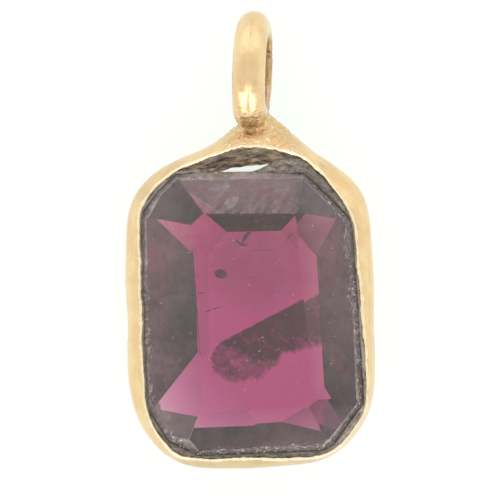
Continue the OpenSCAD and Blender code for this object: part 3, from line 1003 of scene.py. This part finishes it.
def strand(points, width, height):  # a flat thread through the points, thinner towards its ends
    bpy.ops.mesh.primitive_cylinder_add(vertices=6, radius=width / 2, depth=1, end_fill_type="TRIFAN")
    piece = bpy.context.object
    bpy.ops.object.mode_set(mode="EDIT")
    bpy.ops.mesh.select_all(action="SELECT")
    bpy.ops.mesh.subdivide(number_cuts=5)
    bpy.ops.object.mode_set(mode="OBJECT")
    places = [Vector(p) for p in points]
    for vertex in piece.data.vertices:
        t = min(1, max(0, vertex.co.z + 0.5)) * (len(places) - 1)
        low = min(len(places) - 2, int(t))
        middle = places[low].lerp(places[low + 1], t - low)
        turn = (places[low + 1] - places[low]).normalized()
        sideways = Vector((turn.y, -turn.x))
        thin = math.sin(math.pi * (0.12 + 0.76 * t / (len(places) - 1)))
        flat = middle + sideways * vertex.co.x * thin
        vertex.co = (flat.x, flat.y, height + vertex.co.y * 0.4 * thin)
    fillFilm(piece)
    return piece


def blot(x, y, height, wide, long, turn):  # a flat spot with an uneven outline
    bpy.ops.mesh.primitive_ico_sphere_add(subdivisions=4, radius=1)
    piece = bpy.context.object
    for vertex in piece.data.vertices:
        p = vertex.co.copy()
        p *= 1 + 0.16 * noise.noise(p * 1.8 + Vector((x, y, 0)))
        vertex.co = Vector((p.x * wide, p.y * long, p.z * 0.07))
    piece.matrix_world = Matrix.Translation((x, y, height)) @ Matrix.Rotation(turn, 4, "Z")
    applyPlace(piece)
    fillFilm(piece)
    return piece


spotShape = {
    "blot": (-1.42, -1.69, 2.7, 0.31, 0.23, -0.3),  # its place, half its width and length, and its turn
    "strands": (  # the points of each, its width and its height
        (((0.04, 0.38), (-0.14, 0.24), (-0.3, 0.02), (-0.36, -0.18)), 0.22, 2.9),
        (((-0.72, -0.02), (-0.5, -0.2), (-0.28, -0.28), (-0.12, -0.28)), 0.14, 2.9),
        (((-2.22, -3.56), (-2.05, -3.52), (-1.9, -3.42)), 0.07, 2.6),
        (((-1.85, -3.44), (-1.6, -3.34), (-1.42, -3.28)), 0.07, 2.6),
        (((-2.62, -2.6), (-2.4, -2.63), (-2.2, -2.6)), 0.06, 2.6),
        (((-0.1, -0.55), (0.5, -0.5), (1.2, -0.52)), 0.03, 2.8),
        (((1.75, -0.15), (1.9, 0.1), (2.05, 0.3)), 0.05, 3.0),
    ),
}


def makeSpots(material):
    spots = [blot(*spotShape["blot"])]
    for points, width, height in spotShape["strands"]:
        spots.append(strand(points, width, height))
    return finishPiece(joinAll(spots), "darkInclusions", material)


featherShape = {
    "count": 6, "x": (-1.0, -0.25), "y": (1.0, 1.5), "long": 0.7, "wide": 0.16,
    "longer": (0.6, 1.2), "wider": (0.5, 1.2), "lean": (44, 62), "under": (0.3, 0.5),  # from least to most
}


def makeFeathers(material):
    shape = featherShape
    left, right = shape["x"]
    feathers = []
    for i in range(shape["count"]):
        x = left + (right - left) * (i + 0.7 * random.random()) / shape["count"]
        y = random.uniform(*shape["y"])
        length = shape["long"] * random.uniform(*shape["longer"])
        lean = math.radians(random.uniform(*shape["lean"]))
        points = [(x + length * t * math.cos(lean), y + length * t * math.sin(lean) * (1 - 0.15 * t))
                  for t in (0, 0.33, 0.66, 1)]
        top, _ = surfaceAt(x, y + 0.3)  # near its middle
        width = shape["wide"] * random.uniform(*shape["wider"])
        feathers.append(strand(points, width, top.z - random.uniform(*shape["under"])))
    return finishPiece(joinAll(feathers), "rosyFeathers", material)


sheetShapes = {  # the middle and half the size of each, its soft border, and its height or depth in the stone
    "streakedFeather": {"middle": (0.1, 1.75), "half": (2.9, 0.62), "soft": 0.4, "under": 0.15},
    # painted shade: a faint film that dims and reddens the stone's upper middle
    "shadingCloud": {"middle": (0.3, -0.9), "half": (3.6, 3.9), "soft": 0.7, "height": 2.6},
    # painted shade: films that darken the lower right corner and the tip of the lower left lobe
    "shadingCorner": {"middle": (4.25, -9.05), "half": (1.0, 1.25), "soft": 0.35, "under": 0.12},
    "shadingTip": {"middle": (-4.72, -8.3), "half": (0.42, 0.5), "soft": 0.35, "under": 0.12},
}


def sheetHeight(shape, x, y):
    if "height" in shape:
        return shape["height"]
    top, _ = surfaceAt(x, y)
    return (top.z if top else 3) - shape["under"]  # beside the stone any height does, as it is trimmed there


def makeSheet(name, material):
    shape = sheetShapes[name]
    bpy.ops.mesh.primitive_grid_add(x_subdivisions=48, y_subdivisions=48, size=2)
    piece = bpy.context.object
    values = []
    for vertex in piece.data.vertices:
        x, y = vertex.co.x, vertex.co.y
        ragged = 0.25 * noise.noise(Vector((x, y, 0)) * 2)
        values.append(1 - smooth(math.hypot(x, y) + ragged, 1 - shape["soft"], 0.98))
        x, y = shape["middle"][0] + x * shape["half"][0], shape["middle"][1] + y * shape["half"][1]
        vertex.co = (x, y, sheetHeight(shape, x, y))
    fillFilm(piece, values)
    trimToStone(piece)
    return finishPiece(piece, name, material)


# Dust and chips. Sizes are in mm, and a stretched grain is that many times as long as wide.
dustShape = {
    "count": 270, "size": 0.015, "stretch": 1.0, "x": (-5, 5), "y": (-10, 2.8),
    "onVeil": 45, "veilX": (0.5, 0.8), "veilY": (-5.7, 0.6),  # more has caught on the table over the veil
}
glintShape = {
    "count": 260, "size": 0.022, "stretch": 2.2, "high": 3.3, "fall": 0.33, "across": 0.9, "stray": 0.3,
    # angles: the two stretches that have most, and then all round, each with the share that falls up to it
    "zones": ((0.42, (-45, 12)), (0.8, (236, 300)), (1, (0, 360))),
}


def scatter(shape, choose):
    bpy.ops.mesh.primitive_ico_sphere_add(subdivisions=1, radius=1)
    grain = bpy.context.object
    grains = []
    for i in range(shape["count"]):
        where, normal, turn = choose(i)
        if where is None:
            continue
        copy = grain.copy()
        copy.data = grain.data.copy()
        bpy.context.collection.objects.link(copy)
        r = shape["size"] * (0.5 + random.random() ** 2 * 1.4)
        tilt = normal.to_track_quat("Z", "Y").to_matrix().to_4x4()
        scale = Matrix.Diagonal((r * shape["stretch"] * (0.7 + 0.6 * random.random()), r, r * 0.6, 1))
        copy.matrix_world = Matrix.Translation(where) @ tilt @ Matrix.Rotation(turn, 4, "Z") @ scale
        grains.append(copy)
    bpy.data.objects.remove(grain)
    piece = joinAll(grains)
    applyPlace(piece)
    return piece


def makeDust(material):
    shape = dustShape

    def choose(i):
        x, y = random.uniform(*shape["x"]), random.uniform(*shape["y"])
        if i < shape["onVeil"]:
            x, y = random.gauss(*shape["veilX"]), random.gauss(*shape["veilY"])
        where, normal = surfaceAt(x, y)
        return where, normal, random.random() * math.pi

    return finishPiece(scatter(shape, choose), "surfaceDust", material)


def makeGlints(material):
    shape = glintShape

    def choose(i):
        draw = random.random()
        zone = next(angles for share, angles in shape["zones"] if draw < share)
        a = math.radians(random.uniform(*zone))
        drop = random.random() * shape["across"]  # how far down the worn edge it lies
        reach = at(crownLine, a) + (at(girdleLine, a) - at(crownLine, a)) * drop
        height = shape["high"] - shape["fall"] * drop
        where = Vector((reach * math.cos(a), stoneMiddle + reach * math.sin(a), height))
        normal = Vector((math.cos(a), math.sin(a), 1)).normalized()
        return where, normal, a + math.pi / 2 + random.uniform(-shape["stray"], shape["stray"])

    return finishPiece(scatter(shape, choose), "edgeGlints", material, angle=10)


setting = makeSetting(wornGold())
makeBurnishedEdge(burnishedGold(), setting)
makeStone(garnet())
makePackedDirt(packedDirt())
makeChippedEdge(chippedEdge())
print("setting and stone made")
makeVeil(veilFilm())
makeSpots(filmOf("dark fluid film"))
makeFeathers(filmOf("rosy feather film"))
makeSheet("streakedFeather", filmOf("streaked feather film"))
# films of painted shade inside the stone follow
makeSheet("shadingCloud", filmOf("fluid cloud film"))
shadeFilm = filmOf("grey haze film")
makeSheet("shadingCorner", shadeFilm)
makeSheet("shadingTip", shadeFilm)
makeDust(paleGrit("household dust"))
# the chips' near-white colour paints glints along the stone's edge
makeGlints(paleGrit("bright fracture chips"))
print("inclusions, dust and chips made")


# Table, light and camera
stageLook = {
    "size": 3,  # metres
    "floor": "#787878", "glowing": "#fbfffb", "glow": 0.86, "dull": 0.9,
    # the room's colour, linear, and how bright it is overhead, elsewhere, in the boxes and behind
    "light": (1, 0.975, 0.965, 1), "zenith": 0.91, "sky": 1.0, "box": 1.8, "behind": 0.35,
    "dimFrom": 0.28, "dimTo": 0.52, "behindFrom": 0.3, "behindTo": 0.8,
    # the two soft boxes: the middle and half the width of each, and how far they fade outwards and inwards
    "boxes": ((-0.54, 0.3), (0.44, 0.24)), "boxSoft": (0.12, 0.14),
    # in radians from overhead: their middle, and how far from it they start to fade and end
    "boxAt": 1.08, "boxHalf": 0.34, "boxEnd": 0.7,
    "spreadFrom": 0.62, "spreadTo": 1.26, "narrowest": 0.22,  # they draw together towards the top
}


def makeTable():
    look = stageLook
    bpy.ops.mesh.primitive_plane_add(size=look["size"])
    floor = bpy.context.object
    floor.name = "paleTable"
    material, tree, shader, _ = newMaterial("pale lit table")
    wire(tree, shader, {
        "Base Color": linear(look["floor"]), "Roughness": look["dull"], "Specular IOR Level": 0,
        "Emission Color": linear(look["glowing"]), "Emission Strength": look["glow"]})
    floor.data.materials.append(material)


def softBoxes(tree, x, y, z):  # how brightly the boxes shine in one direction
    look = stageLook
    towards = put(tree, "ShaderNodeMath", {0: y, 1: -1}, operation="MULTIPLY")
    fall = put(tree, "ShaderNodeMath", {0: towards, 1: z}, operation="ARCTAN2")
    offMiddle = put(tree, "ShaderNodeMath", {0: fall, 1: look["boxAt"]}, operation="SUBTRACT")
    offMiddle = put(tree, "ShaderNodeMath", {0: offMiddle}, operation="ABSOLUTE")
    tall = put(tree, "ShaderNodeMapRange", {
        "Value": offMiddle, "From Min": look["boxEnd"], "From Max": look["boxHalf"]},
        interpolation_type="SMOOTHSTEP")
    spread = put(tree, "ShaderNodeMapRange", {
        "Value": fall, "From Min": look["spreadFrom"], "From Max": look["spreadTo"],
        "To Min": look["narrowest"]})
    drawnApart = put(tree, "ShaderNodeMath", {0: x, 1: spread}, operation="DIVIDE")
    outer, inner = look["boxSoft"]
    wide = []
    for middle, half in look["boxes"]:
        away = put(tree, "ShaderNodeMath", {0: drawnApart, 1: middle}, operation="SUBTRACT")
        away = put(tree, "ShaderNodeMath", {0: away}, operation="ABSOLUTE")
        wide.append(put(tree, "ShaderNodeMapRange", {
            "Value": away, "From Min": half + outer, "From Max": half - inner},
            interpolation_type="SMOOTHSTEP"))
    both = put(tree, "ShaderNodeMath", {0: wide[0], 1: wide[1]}, operation="ADD")
    return put(tree, "ShaderNodeMath", {0: both, 1: tall}, operation="MULTIPLY")


def makeStudio():
    # A bright even room, dimmer overhead where the camera hangs, with two soft boxes towards the viewer
    look = stageLook
    world = bpy.data.worlds.new("soft studio")
    bpy.context.scene.world = world
    world.use_nodes = True
    tree = world.node_tree
    place = put(tree, "ShaderNodeTexCoord").outputs["Generated"]
    x, y, z = put(tree, "ShaderNodeSeparateXYZ", {0: place}).outputs
    sky = put(tree, "ShaderNodeMapRange", {
        "Value": z, "From Min": look["dimTo"], "From Max": look["dimFrom"],
        "To Min": look["zenith"], "To Max": look["sky"]}, interpolation_type="SMOOTHSTEP")
    power = put(tree, "ShaderNodeMath", {0: softBoxes(tree, x, y, z), 1: look["box"], 2: sky},
                operation="MULTIPLY_ADD")
    behind = put(tree, "ShaderNodeMapRange", {
        "Value": y, "From Min": look["behindFrom"], "From Max": look["behindTo"], "To Max": look["behind"]},
        interpolation_type="SMOOTHSTEP")
    power = put(tree, "ShaderNodeMath", {0: power, 1: behind}, operation="ADD")
    wire(tree, tree.nodes["Background"], {"Color": look["light"], "Strength": power})


# mm: across is the frame's width at the height of level
cameraPlace = {"distance": 400, "across": 24.5, "level": 2.9, "y": -0.5145, "sensor": 36, "nearest": 10}


def placeCamera():
    place = cameraPlace
    lens = bpy.data.cameras.new("camera")
    camera = bpy.data.objects.new("camera", lens)
    bpy.context.collection.objects.link(camera)
    bpy.context.scene.camera = camera
    camera.location = (0, place["y"] * mm, (place["level"] + place["distance"]) * mm)
    lens.sensor_width = place["sensor"]
    lens.lens = place["sensor"] * place["distance"] / place["across"]
    lens.clip_start = place["nearest"] * mm
    bpy.context.scene.view_settings.view_transform = "Standard"


makeTable()
makeStudio()
placeCamera()
print("table, light and camera placed")
